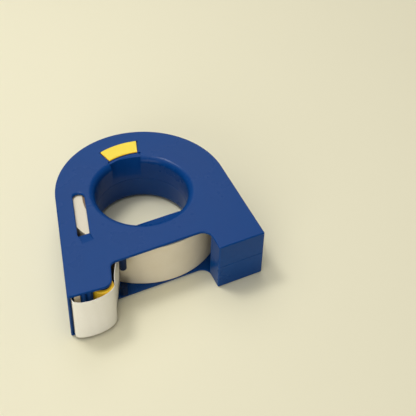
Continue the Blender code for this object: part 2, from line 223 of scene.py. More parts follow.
# ---- shared shader groups ----
def newGroup(name, inputs, outputs):
    tree = bpy.data.node_groups.new(name, "ShaderNodeTree")
    for label, kind, value in inputs:
        socket = tree.interface.new_socket(label, in_out="INPUT", socket_type=kind)
        socket.default_value = value
    for label, kind in outputs:
        tree.interface.new_socket(label, in_out="OUTPUT", socket_type=kind)
    return tree, tree.nodes.new("NodeGroupInput"), tree.nodes.new("NodeGroupOutput")


def node(tree, kind, values=None, **settings):
    made = tree.nodes.new(kind)
    for key, value in settings.items():
        setattr(made, key, value)
    for key, value in (values or {}).items():
        made.inputs[key].default_value = value
    return made


def link(tree, source, target):
    tree.links.new(source, target)


number, colour = "NodeSocketFloat", "NodeSocketColor"

# fine moulded texture: a height for the bump, a cloudy tint and a gloss change
mouldGrain, given, out = newGroup(
    "mouldGrain",
    [("Fineness", number, 1800.0), ("Cloud Size", number, 30.0), ("Gloss", number, 0.4),
     ("Gloss Spread", number, 0.08)],
    [("Height", number), ("Tint", number), ("Roughness", number)])
place = node(mouldGrain, "ShaderNodeTexCoord")
fine = node(mouldGrain, "ShaderNodeTexNoise", {"Detail": 3.0, "Roughness": 0.55})
cloud = node(mouldGrain, "ShaderNodeTexNoise", {"Detail": 4.0, "Roughness": 0.6})
link(mouldGrain, place.outputs["Object"], fine.inputs["Vector"])
link(mouldGrain, place.outputs["Object"], cloud.inputs["Vector"])
link(mouldGrain, given.outputs["Fineness"], fine.inputs["Scale"])
link(mouldGrain, given.outputs["Cloud Size"], cloud.inputs["Scale"])
spread = node(mouldGrain, "ShaderNodeMath", {1: 0.5}, operation="SUBTRACT")
amount = node(mouldGrain, "ShaderNodeMath", operation="MULTIPLY_ADD")
link(mouldGrain, cloud.outputs["Fac"], spread.inputs[0])
link(mouldGrain, spread.outputs[0], amount.inputs[0])
link(mouldGrain, given.outputs["Gloss Spread"], amount.inputs[1])
link(mouldGrain, given.outputs["Gloss"], amount.inputs[2])
link(mouldGrain, fine.outputs["Fac"], out.inputs["Height"])
link(mouldGrain, cloud.outputs["Fac"], out.inputs["Tint"])
link(mouldGrain, amount.outputs[0], out.inputs["Roughness"])

# lighter convex edges: a mask on convex edges, broken up by noise; partly rubbed wear, partly a painted highlight
# on the rounded edges
edgeWearAndSheen, given, out = newGroup(
    "edgeWearAndSheen",
    [("Start", number, 0.53), ("Full", number, 0.60), ("Break Up", number, 260.0), ("Strength", number, 0.5)],
    [("Mask", number)])
shapeInfo = node(edgeWearAndSheen, "ShaderNodeNewGeometry")
place = node(edgeWearAndSheen, "ShaderNodeTexCoord")
speck = node(edgeWearAndSheen, "ShaderNodeTexNoise", {"Detail": 5.0, "Roughness": 0.7})
along = node(edgeWearAndSheen, "ShaderNodeMapRange", clamp=True)
patch = node(edgeWearAndSheen, "ShaderNodeMapRange", {"From Min": 0.35, "From Max": 0.62}, clamp=True)
both = node(edgeWearAndSheen, "ShaderNodeMath", operation="MULTIPLY")
scaled = node(edgeWearAndSheen, "ShaderNodeMath", operation="MULTIPLY")
link(edgeWearAndSheen, place.outputs["Object"], speck.inputs["Vector"])
link(edgeWearAndSheen, given.outputs["Break Up"], speck.inputs["Scale"])
link(edgeWearAndSheen, shapeInfo.outputs["Pointiness"], along.inputs["Value"])
link(edgeWearAndSheen, given.outputs["Start"], along.inputs["From Min"])
link(edgeWearAndSheen, given.outputs["Full"], along.inputs["From Max"])
link(edgeWearAndSheen, speck.outputs["Fac"], patch.inputs["Value"])
link(edgeWearAndSheen, along.outputs["Result"], both.inputs[0])
link(edgeWearAndSheen, patch.outputs["Result"], both.inputs[1])
link(edgeWearAndSheen, both.outputs[0], scaled.inputs[0])
link(edgeWearAndSheen, given.outputs["Strength"], scaled.inputs[1])
link(edgeWearAndSheen, scaled.outputs[0], out.inputs["Mask"])

# creped paper: fine ridges across the tape, from lengths stored on its mesh
crepe, given, out = newGroup(
    "crepe",
    [("Ridges", number, 1500.0), ("Ridge Length", number, 260.0), ("Blotch", number, 60.0)],
    [("Height", number), ("Tint", number)])
alongTape = node(crepe, "ShaderNodeAttribute", attribute_name="alongTape")
acrossTape = node(crepe, "ShaderNodeAttribute", attribute_name="acrossTape")
mixed = node(crepe, "ShaderNodeCombineXYZ")
longWay = node(crepe, "ShaderNodeMath", operation="MULTIPLY")
crossWay = node(crepe, "ShaderNodeMath", operation="MULTIPLY")
ridges = node(crepe, "ShaderNodeTexNoise", {"Scale": 1.0, "Detail": 4.0, "Roughness": 0.6})
place = node(crepe, "ShaderNodeTexCoord")
blotch = node(crepe, "ShaderNodeTexNoise", {"Detail": 3.0})
link(crepe, alongTape.outputs["Fac"], longWay.inputs[0])
link(crepe, given.outputs["Ridges"], longWay.inputs[1])
link(crepe, acrossTape.outputs["Fac"], crossWay.inputs[0])
link(crepe, given.outputs["Ridge Length"], crossWay.inputs[1])
link(crepe, longWay.outputs[0], mixed.inputs["X"])
link(crepe, crossWay.outputs[0], mixed.inputs["Y"])
link(crepe, mixed.outputs[0], ridges.inputs["Vector"])
link(crepe, place.outputs["Object"], blotch.inputs["Vector"])
link(crepe, given.outputs["Blotch"], blotch.inputs["Scale"])
link(crepe, ridges.outputs["Fac"], out.inputs["Height"])
link(crepe, blotch.outputs["Fac"], out.inputs["Tint"])

# wound layers: fine rings on the flat side of a roll, from the distance to its axis
woundLayers, given, out = newGroup(
    "woundLayers",
    [("Axis X", number, 0.0), ("Axis Y", number, 0.0), ("Layers", number, 2600.0), ("Coarse", number, 420.0)],
    [("Height", number), ("Tint", number)])
place = node(woundLayers, "ShaderNodeTexCoord")
parts = node(woundLayers, "ShaderNodeSeparateXYZ")
fromX = node(woundLayers, "ShaderNodeMath", operation="SUBTRACT")
fromY = node(woundLayers, "ShaderNodeMath", operation="SUBTRACT")
flat = node(woundLayers, "ShaderNodeCombineXYZ")
distance = node(woundLayers, "ShaderNodeVectorMath", operation="LENGTH")
link(woundLayers, place.outputs["Object"], parts.inputs[0])
link(woundLayers, parts.outputs["X"], fromX.inputs[0])
link(woundLayers, given.outputs["Axis X"], fromX.inputs[1])
link(woundLayers, parts.outputs["Y"], fromY.inputs[0])
link(woundLayers, given.outputs["Axis Y"], fromY.inputs[1])
link(woundLayers, fromX.outputs[0], flat.inputs["X"])
link(woundLayers, fromY.outputs[0], flat.inputs["Y"])
link(woundLayers, flat.outputs[0], distance.inputs[0])
for label, outlet in (("Layers", "Height"), ("Coarse", "Tint")):
    lines = node(woundLayers, "ShaderNodeTexNoise", {"Detail": 2.0}, noise_dimensions="1D")
    far = node(woundLayers, "ShaderNodeMath", operation="MULTIPLY")
    link(woundLayers, distance.outputs["Value"], far.inputs[0])
    link(woundLayers, given.outputs[label], far.inputs[1])
    link(woundLayers, far.outputs[0], lines.inputs["W"])
    link(woundLayers, lines.outputs["Fac"], out.inputs[outlet])
print("shader groups made")


# ---- materials ----
def newMaterial(name, roughness=0.5, metallic=0.0, specular=0.5):
    made = bpy.data.materials.new(name)
    made.use_nodes = True
    shader = made.node_tree.nodes["Principled BSDF"]
    shader.inputs["Roughness"].default_value = roughness
    shader.inputs["Metallic"].default_value = metallic
    shader.inputs["Specular IOR Level"].default_value = specular
    return made, made.node_tree, shader


def useGroup(tree, group, **values):
    made = tree.nodes.new("ShaderNodeGroup")
    made.node_tree = group
    for key, value in values.items():
        made.inputs[key.replace("_", " ")].default_value = value
    return made


def blended(tree, fac, first, second):
    mix = node(tree, "ShaderNodeMix", data_type="RGBA")
    if isinstance(fac, (int, float)):
        mix.inputs["Factor"].default_value = fac
    else:
        link(tree, fac, mix.inputs["Factor"])
    for socket, value in ((mix.inputs[6], first), (mix.inputs[7], second)):
        if isinstance(value, tuple):
            socket.default_value = (*value, 1)
        else:
            link(tree, value, socket)
    return mix.outputs[2]


def bump(tree, shader, height, strength, distance):
    made = node(tree, "ShaderNodeBump", {"Strength": strength, "Distance": distance})
    link(tree, height, made.inputs["Height"])
    link(tree, made.outputs["Normal"], shader.inputs["Normal"])
    return made


def plastic(name, look):
    # moulded plastic: cloudy tint, fine grain and lighter edges, partly rubbed wear and partly painted highlight
    made, tree, shader = newMaterial(name, look["gloss"], specular=look.get("specular", 0.5))
    grain = useGroup(tree, mouldGrain, Fineness=look["fineness"], Cloud_Size=look["cloud"],
                     Gloss=look["gloss"], Gloss_Spread=look["glossSpread"])
    wearAndSheen = useGroup(tree, edgeWearAndSheen, Strength=look["wearAndSheen"], Start=look.get("wearStart", 0.53))
    body = blended(tree, grain.outputs["Tint"], look["dark"], look["light"])
    if "side" in look:
        # painted shade: rounded edges and upright faces turn to a deeper orange, the look of the shaded sides
        facing = node(tree, "ShaderNodeNewGeometry")
        upward = node(tree, "ShaderNodeSeparateXYZ")
        level = node(tree, "ShaderNodeMapRange", {"From Min": 0.45, "From Max": 0.97}, clamp=True)
        link(tree, facing.outputs["Normal"], upward.inputs[0])
        link(tree, upward.outputs["Z"], level.inputs["Value"])
        body = blended(tree, level.outputs["Result"], look["side"], body)
    # convex edges take the lighter edge colour: partly wear, partly painted highlight
    link(tree, blended(tree, wearAndSheen.outputs["Mask"], body, look["edge"]), shader.inputs["Base Color"])
    link(tree, grain.outputs["Roughness"], shader.inputs["Roughness"])
    bump(tree, shader, grain.outputs["Height"], look["bump"], 0.0001)
    return made


# each edge colour below is a lighter tone for convex edges, partly rubbed wear and partly painted highlight
bluePlastic = plastic("bluePlastic", {
    "dark": (0.001, 0.045, 0.205), "light": (0.002, 0.055, 0.240), "edge": (0.02, 0.12, 0.42),
    "specular": 0.16, "gloss": 0.28, "glossSpread": 0.10, "fineness": 2200.0, "cloud": 22.0,
    "wearAndSheen": 0.45, "bump": 0.10})
yellowPlastic = plastic("yellowPlastic", {
    "dark": (0.97, 0.70, 0.035), "light": (1.0, 0.80, 0.055), "edge": (1.0, 0.86, 0.16),
    # the side colour is painted shade for upright faces
    "side": (0.98, 0.46, 0.010),
    "gloss": 0.40, "glossSpread": 0.08, "fineness": 2600.0, "cloud": 60.0, "wearAndSheen": 0.25, "bump": 0.12})
rollerYellow = plastic("rollerYellow", {
    "dark": (0.97, 0.56, 0.018), "light": (1.0, 0.66, 0.024), "edge": (1.0, 0.72, 0.06),
    "gloss": 0.52, "glossSpread": 0.10, "fineness": 1500.0, "cloud": 90.0, "wearAndSheen": 0.15, "bump": 0.20})
darkPlastic = plastic("darkPlastic", {
    "dark": (0.004, 0.012, 0.045), "light": (0.006, 0.018, 0.06), "edge": (0.03, 0.07, 0.18),
    "specular": 0.06, "gloss": 0.36, "glossSpread": 0.10, "fineness": 2200.0, "cloud": 80.0,
    "wearAndSheen": 0.35, "bump": 0.10})
creamPlastic = plastic("creamPlastic", {
    "dark": (0.62, 0.50, 0.32), "light": (0.80, 0.68, 0.46), "edge": (0.9, 0.82, 0.64),
    "gloss": 0.55, "glossSpread": 0.12, "fineness": 1100.0, "cloud": 300.0, "wearAndSheen": 0.3, "bump": 0.30})

paperLook = {
    "dark": (0.88, 0.83, 0.72), "light": (0.95, 0.92, 0.85), "ridge": (0.96, 0.94, 0.87),
    "ridges": 1500.0, "bump": 0.35, "roughness": 0.72, "specular": 0.3,
}
paper, tree, shader = newMaterial("crepePaper", paperLook["roughness"], specular=paperLook["specular"])
creping = useGroup(tree, crepe, Ridges=paperLook["ridges"])
tone = blended(tree, creping.outputs["Tint"], paperLook["dark"], paperLook["light"])
link(tree, blended(tree, creping.outputs["Height"], tone, paperLook["ridge"]), shader.inputs["Base Color"])
bump(tree, shader, creping.outputs["Height"], paperLook["bump"], 0.00008)

rollAxis = (0.010383, 0.00795)


def woundMaterial(name, look):
    # rings on the flat sides, creping or plain paper on the round faces
    made, tree, shader = newMaterial(name, look["roughness"], specular=look["specular"])
    rings = useGroup(tree, woundLayers, Axis_X=rollAxis[0], Axis_Y=rollAxis[1], Layers=look["layers"])
    creping = useGroup(tree, crepe)
    facing = node(tree, "ShaderNodeNewGeometry")
    upward = node(tree, "ShaderNodeSeparateXYZ")
    level = node(tree, "ShaderNodeMath", operation="ABSOLUTE")
    side = node(tree, "ShaderNodeMapRange", {"From Min": 0.5, "From Max": 0.8}, clamp=True)
    link(tree, facing.outputs["True Normal"], upward.inputs[0])
    link(tree, upward.outputs["Z"], level.inputs[0])
    link(tree, level.outputs[0], side.inputs["Value"])
    lines = blended(tree, rings.outputs["Tint"], look["dark"], look["light"])
    lines = blended(tree, rings.outputs["Height"], look["dark"], lines)
    plain = blended(tree, creping.outputs["Tint"], look["faceDark"], look["faceLight"])
    link(tree, blended(tree, side.outputs["Result"], plain, lines), shader.inputs["Base Color"])
    chosen = node(tree, "ShaderNodeMix", data_type="FLOAT")
    link(tree, side.outputs["Result"], chosen.inputs["Factor"])
    link(tree, creping.outputs["Height"], chosen.inputs[2])
    link(tree, rings.outputs["Height"], chosen.inputs[3])
    bump(tree, shader, chosen.outputs[0], look["bump"], 0.00008)
    return made


rollPaper = woundMaterial("rolledPaper", {
    "dark": (0.74, 0.66, 0.50), "light": (0.95, 0.91, 0.80), "faceDark": (0.72, 0.63, 0.46),
    "faceLight": (0.84, 0.77, 0.62), "bump": 0.4, "roughness": 0.74, "specular": 0.3, "layers": 2600.0})
cardboard = woundMaterial("cardboard", {
    "dark": (0.20, 0.125, 0.07), "light": (0.36, 0.24, 0.145), "faceDark": (0.20, 0.125, 0.07),
    "faceLight": (0.36, 0.24, 0.145), "bump": 0.6, "roughness": 0.85, "specular": 0.3, "layers": 1500.0})

steelLook = {
    "bright": (0.72, 0.72, 0.73), "dull": (0.50, 0.50, 0.52), "stretch": (4000.0, 4000.0, 120.0),
    "smooth": 0.20, "rough": 0.42, "bump": 0.08,
}
steel, tree, shader = newMaterial("brushedSteel", 0.28, 1.0)
place = node(tree, "ShaderNodeTexCoord")
stretch = node(tree, "ShaderNodeMapping", {"Scale": steelLook["stretch"]})
brush = node(tree, "ShaderNodeTexNoise", {"Scale": 1.0, "Detail": 3.0})
link(tree, place.outputs["Object"], stretch.inputs["Vector"])
link(tree, stretch.outputs[0], brush.inputs["Vector"])
tone = blended(tree, brush.outputs["Fac"], steelLook["dull"], steelLook["bright"])
link(tree, tone, shader.inputs["Base Color"])
glossy = node(tree, "ShaderNodeMapRange", {"To Min": steelLook["smooth"], "To Max": steelLook["rough"]})
link(tree, brush.outputs["Fac"], glossy.inputs["Value"])
link(tree, glossy.outputs["Result"], shader.inputs["Roughness"])
bump(tree, shader, brush.outputs["Fac"], steelLook["bump"], 0.00005)
print("materials made")

# ---- housing, in two halves ----
housing = {
    "height": 0.0400, "arc": 0.06237, "leftLean": math.radians(15.8), "rightLean": math.radians(3.3),
    "cutY": -0.0584, "tipCornerY": -0.0744, "tipSideX": -0.0524, "tipSideY": -0.0686, "tipSlope": 0.35,
    "tipDrop": 0.09, "tipRound": 0.0075, "cutRound": 0.0050, "legTopX": 0.0241, "legBottomX": 0.0229,
    "legRound": 0.0068, "legY": -0.0780, "corner": 0.0010, "edge": 0.0009, "wall": 0.0021, "plate": 0.0016,
    "legWallTop": -0.0640, "seam": 0.00004, "seamGroove": 0.00020, "wallLip": 0.0011, "wallGroove": 0.0010,
    "innerEdge": 0.0005, "past": 0.004, "legWallReach": 0.015, "grooveLength": 0.0045,
}
hole = {
    "x": -0.00125, "y": -0.0020, "radius": 0.03345, "rim": 0.0052, "chord": 0.0280, "hub": 0.0375,
    "chordSteps": 24, "rimSteps": 20, "facetStart": math.radians(45), "facetDepth": 0.0039,
    "facetBlend": 0.0008, "cornerTurn": math.radians(2.2), "cornerLength": 0.0013,
}
window = {
    "x": -0.0501, "y": -0.0079, "width": 0.0082, "top": 0.0138, "bottom": -0.0255, "rampEnd": -0.0345,
    "rampDepth": 0.0015, "rampInset": 0.0002, "rampEdge": 0.00025,
    "edge": 0.0008, "edgeDepth": 0.0013, "topFlare": 0.0021,
}
catch = {
    "angle": math.radians(87.05), "half": math.radians(16.4), "inner": 0.0401, "outer": 0.0522,
    "swell": 0.024, "thick": 0.0010, "proud": 0.0002, "edge": 0.00032, "lowEdge": 0.0002,
    "sideGap": 0.0006, "seatDepth": 0.0011, "seatEdge": 0.0002, "seatRound": 0.00014, "footGap": 0.0003,
    "notchRadius": 0.0377, "notchBack": 0.0371, "notchLow": 0.0328, "notchHalf": math.radians(19.6),
    "notchDepth": 0.0175, "ledge": 0.0396, "bevel": 0.0018, "bevelDrop": 0.00075,
    "footWidth": 0.0060, "footLength": 0.0030, "footRadius": 0.0460, "footTravel": 0.0018,
}
lean = math.tan(housing["leftLean"])


def leftX(y, inset=0.0):
    h = housing
    return (inset - h["arc"]) / math.cos(h["leftLean"]) + y * lean


def rightX(y, inset=0.0):
    h = housing
    return (h["arc"] - inset) / math.cos(h["rightLean"]) + y * math.tan(h["rightLean"])


def tipSide(y):
    h = housing
    return h["tipSideX"] + h["tipSlope"] * (y - h["tipSideY"])


def housingLoop():
    h = housing
    bow = arc(0, 0, h["arc"], -h["rightLean"], math.pi - h["leftLean"], math.radians(1.5))
    run = tipSide(0) - leftX(h["tipCornerY"])
    footY = (h["tipCornerY"] - h["tipDrop"] * run) / (1 + h["tipDrop"] * h["tipSlope"])
    return roundedLoop([(x, y, 0) for x, y in bow] + [
        (leftX(h["tipCornerY"]), h["tipCornerY"], h["corner"]),
        (tipSide(footY), footY, h["tipRound"]),
        (tipSide(h["cutY"]), h["cutY"], h["cutRound"]),
        (h["legTopX"], h["cutY"], h["legRound"]),
        (h["legBottomX"], h["legY"], h["corner"]),
        (rightX(h["legY"]), h["legY"], h["corner"]),
    ])


def cavityLoop():
    h = housing
    below = h["legY"] - h["past"]
    bow = arc(0, 0, h["arc"] - h["wall"], -h["rightLean"], math.pi - h["leftLean"], math.radians(1.5))
    return bow + [
        (leftX(below, h["wall"]), below),
        (h["legBottomX"] - h["legWallReach"], below),
        (h["legBottomX"] - h["legWallReach"], h["legWallTop"]),
        (h["legTopX"] + h["wall"], h["legWallTop"]),
        (h["legBottomX"] + h["wall"], h["legY"] + h["wall"]),
        (rightX(h["legY"] + h["wall"], h["wall"]), h["legY"] + h["wall"]),
    ]


def holeLoop():
    # round, with one flat side towards the cut-out and soft corners where it starts
    side = math.acos(hole["chord"] / hole["radius"])
    soft, short = hole["cornerTurn"], hole["cornerLength"]
    bow = arc(0, 0, hole["radius"], side + soft - math.pi / 2, 1.5 * math.pi - side - soft, math.radians(2))
    halfChord = hole["radius"] * math.sin(side)

    def corner(first, last, at):
        return [tuple(Vector(first) * (1 - t) ** 2 + Vector(at) * 2 * t * (1 - t) + Vector(last) * t * t)
                for t in (0.25, 0.5, 0.75)]

    start, end = (-halfChord + short, -hole["chord"]), (halfChord - short, -hole["chord"])
    count = hole["chordSteps"]
    straight = [tuple(Vector(start).lerp(Vector(end), k / count)) for k in range(count + 1)]
    return (bow + corner(bow[-1], start, (-halfChord, -hole["chord"])) + straight
            + corner(end, bow[0], (halfChord, -hole["chord"])))


def rimPoint(spot, swing):
    # a round rim; behind the chord it turns into a flat slope down to the chord's edge
    outward = spot.normalized()
    depth = hole["rim"] * (1 - math.cos(swing))
    rounded = (outward * (hole["radius"] + hole["rim"] * (1 - math.sin(swing)))).to_3d()
    rounded.z = depth
    start = hole["facetStart"]
    if swing <= start:
        return rounded
    share = (math.cos(start) - math.cos(swing)) / math.cos(start)
    crease = (outward * (hole["radius"] + hole["rim"] * (1 - math.sin(start)))).to_3d()
    crease.z = hole["rim"] * (1 - math.cos(start))
    slope = crease.lerp(Vector((spot.x, spot.y, hole["facetDepth"])), share)
    return rounded.lerp(slope, min(1.0, (hole["radius"] - spot.length) / hole["facetBlend"]))


def rimmedHole(level, far, seamDepth):
    # rings of the hand hole: flared to a curved rim at the outer face, with a groove at the seam
    spots = [Vector(p) for p in holeLoop()]

    def placed(points, depth=None):
        return [Vector((p.x + hole["x"], p.y + hole["y"], level(p.z if depth is None else depth))) for p in points]

    rings = [placed([rimPoint(s, 0) for s in spots], -0.002)]
    for k in range(hole["rimSteps"] + 1):
        rings.append(placed([rimPoint(s, math.pi / 2 * k / hole["rimSteps"]) for s in spots]))
    rings.append(placed(spots, hole["rim"] + 0.0004))
    groove = housing["seamGroove"]
    for depth, out in ((seamDepth - groove, 0), (seamDepth, groove), (far, groove)):
        rings.append(placed(offsetLoop(spots, out), depth))
    return rings


def flared(points, floor, face, radius, over=0.002, steps=4):
    # rings of a cutter that leaves a rounded edge where it meets the face
    way = 1 if face > floor else -1
    rings = [ring(points, floor)]
    for k in range(steps + 1):
        swing = math.pi / 2 * k / steps
        rings.append(ring(offsetLoop(points, radius * (1 - math.cos(swing))),
                          face - way * radius * (1 - math.sin(swing))))
    rings.append(ring(offsetLoop(points, radius), face + way * over))
    return rings


def shellHalf(upper):
    h = housing
    depthOfSeam = h["height"] / 2 - h["seam"]

    def level(depth):
        return h["height"] - depth if upper else depth

    loop = housingLoop()
    rings = []
    for k in range(7):
        swing = math.pi / 2 * k / 6
        rings.append(ring(offsetLoop(loop, -h["edge"] * (1 - math.sin(swing))),
                          level(h["edge"] * (1 - math.cos(swing)))))
    rings.append(ring(loop, level(depthOfSeam - h["seamGroove"])))
    rings.append(ring(offsetLoop(loop, -h["seamGroove"]), level(depthOfSeam)))
    shell = held(loft(rings))
    soft = h["innerEdge"]
    inside = [ring(offsetLoop(cavityLoop(), -soft * (1 - math.sin(math.pi / 8 * k))),
                   level(h["plate"] + soft * (1 - math.cos(math.pi / 8 * k)))) for k in range(5)]
    inside.append(ring(cavityLoop(), level(depthOfSeam + h["past"])))
    inside = held(loft(inside))
    hubLoop = arc(hole["x"], hole["y"], hole["hub"], 0, 2 * math.pi)
    hub = [ring(offsetLoop(hubLoop, soft), level(-0.002))]
    hub += [ring(offsetLoop(hubLoop, soft * (1 - math.sin(math.pi / 8 * k))),
                 level(h["plate"] + soft * (1 - math.cos(math.pi / 8 * k)))) for k in range(5)]
    hub.append(ring(hubLoop, level(depthOfSeam + 0.006)))
    inside = joined(inside, [held(loft(hub))])
    joined(shell, [inside])
    turn, step = 2 * math.pi, math.radians(8)
    bossLoop = arc(roller["x"], roller["y"], roller["boss"], 0, turn, step)
    bossEnds = sorted((level(h["plate"] - roller["bossSunk"]), level(h["plate"] + roller["bossHigh"])))
    boss = held(loft(filleted(bossLoop, *bossEnds, 0.00001, 0.00001)))
    joined(shell, [boss], "UNION")
    socketLoop = arc(roller["x"], roller["y"], roller["axle"] + roller["play"], 0, turn, step)
    socket = held(loft([ring(socketLoop, level(h["plate"] - roller["socketDeep"])),
                        ring(socketLoop, level(h["plate"] + 0.002))]))
    lip, deep = h["wallLip"], h["wall"] + 0.0005
    endY, backY = h["tipCornerY"] - h["grooveLength"], h["tipCornerY"] + h["wallGroove"]
    grooveLoop = [(leftX(endY, lip), endY), (leftX(endY, deep), endY),
                  (leftX(backY, deep), backY), (leftX(backY, lip), backY)]
    groove = held(loft([ring(grooveLoop, level(h["plate"])), ring(grooveLoop, level(depthOfSeam + 0.002))]))
    cutters = [socket, groove, held(loft(rimmedHole(level, depthOfSeam + h["past"], depthOfSeam)))]
    if upper:
        cutters += [cutter(level) for cutter in (windowCutter, rampCutter, seatCutter, notchCutter, footCutter)]
    return joined(shell, cutters)


def windowLoop():
    half = window["width"] / 2 / math.cos(housing["leftLean"])

    def middle(y):
        return window["x"] + (y - window["y"]) * lean

    centreY = window["top"] - window["width"] / 2
    top = arc(middle(centreY), centreY, window["width"] / 2, -housing["leftLean"],
              math.pi - housing["leftLean"], math.radians(6))
    low = middle(window["bottom"])
    return top + [(low - half, window["bottom"]), (low + half, window["bottom"])]


def windowCutter(level):
    # the edge is rounded all round, and wider at the upper end
    w = window
    loop = windowLoop()
    half = w["width"] / 2
    centreY = w["top"] - half
    rings = [ring(loop, level(0.008))]
    for k in range(7):
        swing = math.pi / 2 * k / 6
        opening = 1 - math.cos(swing)
        moved = offsetLoop(loop, w["edge"] * opening)
        rings.append([Vector((p.x, p.y + w["topFlare"] * opening * max(0.0, (q[1] - centreY) / half),
                              level(w["edgeDepth"] * (1 - math.sin(swing)))))
                      for p, q in zip(moved, loop)])
    rings.append([Vector((p.x, p.y, level(-0.002))) for p in rings[-1]])
    return held(loft(rings))


def rampCutter(level):
    # a wedge that rises from the window's lower end to the face
    half = window["width"] / 2 / math.cos(housing["leftLean"]) - window["rampInset"]
    x = window["x"] + (window["bottom"] - window["y"]) * lean
    soft = window["rampEdge"]
    rings = []
    count = 10
    for step in range(-1, count + 2):
        share = min(max(step, 0) / count, 1.04)
        y = window["bottom"] + (0.002 if step < 0 else (window["rampEnd"] - window["bottom"]) * share)
        depth = window["rampDepth"] * (1 - share)
        outline = ((-half - soft, -0.002), (-half - soft, 0), (-half, depth), (half, depth),
                   (half + soft, 0), (half + soft, -0.002))
        rings.append([Vector((x + across, y, level(down))) for across, down in outline])
    return held(loft(rings))


def swollen(radius, start, end, step=math.radians(1.5)):
    # an arc about the hub that lies further out on its right side
    points = []
    for x, y in arc(0, 0, radius, catch["angle"] + start, catch["angle"] + end, step):
        grow = 1 - catch["swell"] * (math.atan2(y, x) - catch["angle"]) / catch["half"]
        points.append((hole["x"] + x * grow, hole["y"] + y * grow))
    return points


def seatCutter(level):
    c = catch
    wide = c["half"] + c["sideGap"] / c["inner"]
    loop = (swollen(c["outer"] + c["seatEdge"], -wide, wide) + swollen(c["ledge"], wide, c["notchHalf"])
            + swollen(hole["radius"] / 2, c["notchHalf"], -c["notchHalf"])
            + swollen(c["ledge"], -c["notchHalf"], -wide))
    return held(loft(flared(loop, level(c["seatDepth"]), level(0), c["seatRound"], steps=2)))


def notchCutter(level):
    c = catch
    half = c["notchHalf"] - math.radians(0.05)
    rings = []
    middle = Vector((hole["x"], hole["y"]))
    back = c["notchRadius"] + 0.0003
    for radius, limit, depth in ((c["notchLow"], c["notchLow"], c["notchDepth"]),
                                 (c["notchRadius"], c["notchBack"], c["seatDepth"] + 0.0005),
                                 (c["notchRadius"], 1.0, c["seatDepth"] + 0.0002),
                                 (back, 1.0, c["seatDepth"]), (back, 1.0, -0.002)):
        far = [middle + (Vector(p) - middle).normalized() * min((Vector(p) - middle).length, limit)
               for p in swollen(radius, -half, half)]
        rings.append(ring(far + swollen(hole["radius"] / 2 + 0.0003, half, -half), level(depth)))
    return held(loft(rings))


def catchFrame(radius):
    c = catch
    at = Vector((hole["x"] + radius * math.cos(c["angle"]), hole["y"] + radius * math.sin(c["angle"]), 0))
    return Matrix.Translation(at) @ Matrix.Rotation(c["angle"] - math.pi / 2, 4, "Z")


def footCutter(level):
    c = catch
    wide = c["footWidth"] / 2 + c["footGap"]
    long = (c["footLength"] + c["footTravel"]) / 2 + c["footGap"]
    tool = held(loft([[Vector((x * wide, y * long, level(depth))) for x, y in squareCorners]
                      for depth in (0.004, -0.001)]))
    tool.data.transform(catchFrame(c["footRadius"] - c["footTravel"] / 2))
    return tool


roller = {
    "x": -0.0600, "y": -0.0712, "radius": 0.0074, "low": 0.0027, "high": 0.0373, "round": 0.0011,
    "bore": 0.0034, "bush": 0.0060, "flange": 0.0050, "flangeThick": 0.0006, "axle": 0.0020, "boss": 0.0036,
    "bossSunk": 0.0006, "bossHigh": 0.0004, "play": 0.00008, "socketDeep": 0.0009,
    "axleLow": 0.00085, "axleHigh": 0.03915, "axleEdge": 0.0003, "sleeveInset": 0.0007, "bushEdge": 0.00015,
}
for upper, name, nodeName, body in ((True, "upperShell", "upper_shell", "cover"),
                                    (False, "lowerShell", "lower_shell", "housing")):
    piece(shellHalf(upper), name, body, bluePlastic, [nodeName], sharp=32)
print("housing made")

# ---- slide catch ----
c = catch
corners = swollen(c["outer"], -c["half"], c["half"]), swollen(c["inner"], c["half"], -c["half"])
loop = roundedLoop([(*corners[0][0], 0.0005)] + [(x, y, 0) for x, y in corners[0][1:-1]]
                   + [(*corners[0][-1], 0.0010), (*corners[1][0], 0.0006)]
                   + [(x, y, 0) for x, y in corners[1][1:-1]] + [(*corners[1][-1], 0.0005)])
top = housing["height"] + c["proud"]
rings = filleted(loop, top - c["thick"], top - c["edge"], c["lowEdge"], 0.0, 4)[:-1]
for k in range(7):
    # the top edge is rounded, and falls away further along the inner side
    swing = math.pi / 2 * k / 6
    inset, drop = 1 - math.sin(math.pi / 2 - swing), 1 - math.cos(math.pi / 2 - swing)
    layer = []
    for p in offsetLoop(loop, -c["edge"] * inset):
        outward = p - Vector((hole["x"], hole["y"]))
        grow = 1 - c["swell"] * (math.atan2(outward.y, outward.x) - c["angle"]) / c["half"]
        inner = outward.length / grow < (c["inner"] + c["outer"]) / 2
        fall = c["bevelDrop"] if inner else c["edge"]
        spot = p + outward.normalized() * ((c["bevel"] - c["edge"]) * inset if inner else 0.0)
        layer.append(Vector((spot.x, spot.y, top - fall * drop)))
    rings.append(layer)
button = held(loft(rings))
foot = held(loft([[Vector((x * c["footWidth"] / 2, y * c["footLength"] / 2, z)) for x, y in squareCorners]
                  for z in (housing["height"] - housing["plate"] + 0.00015, top - c["thick"] / 2)]))
foot.data.transform(catchFrame(c["footRadius"]))
joined(button, [foot], "UNION")
piece(button, "latchButton", "catch", yellowPlastic, ["latch_button"])
print("catch made")

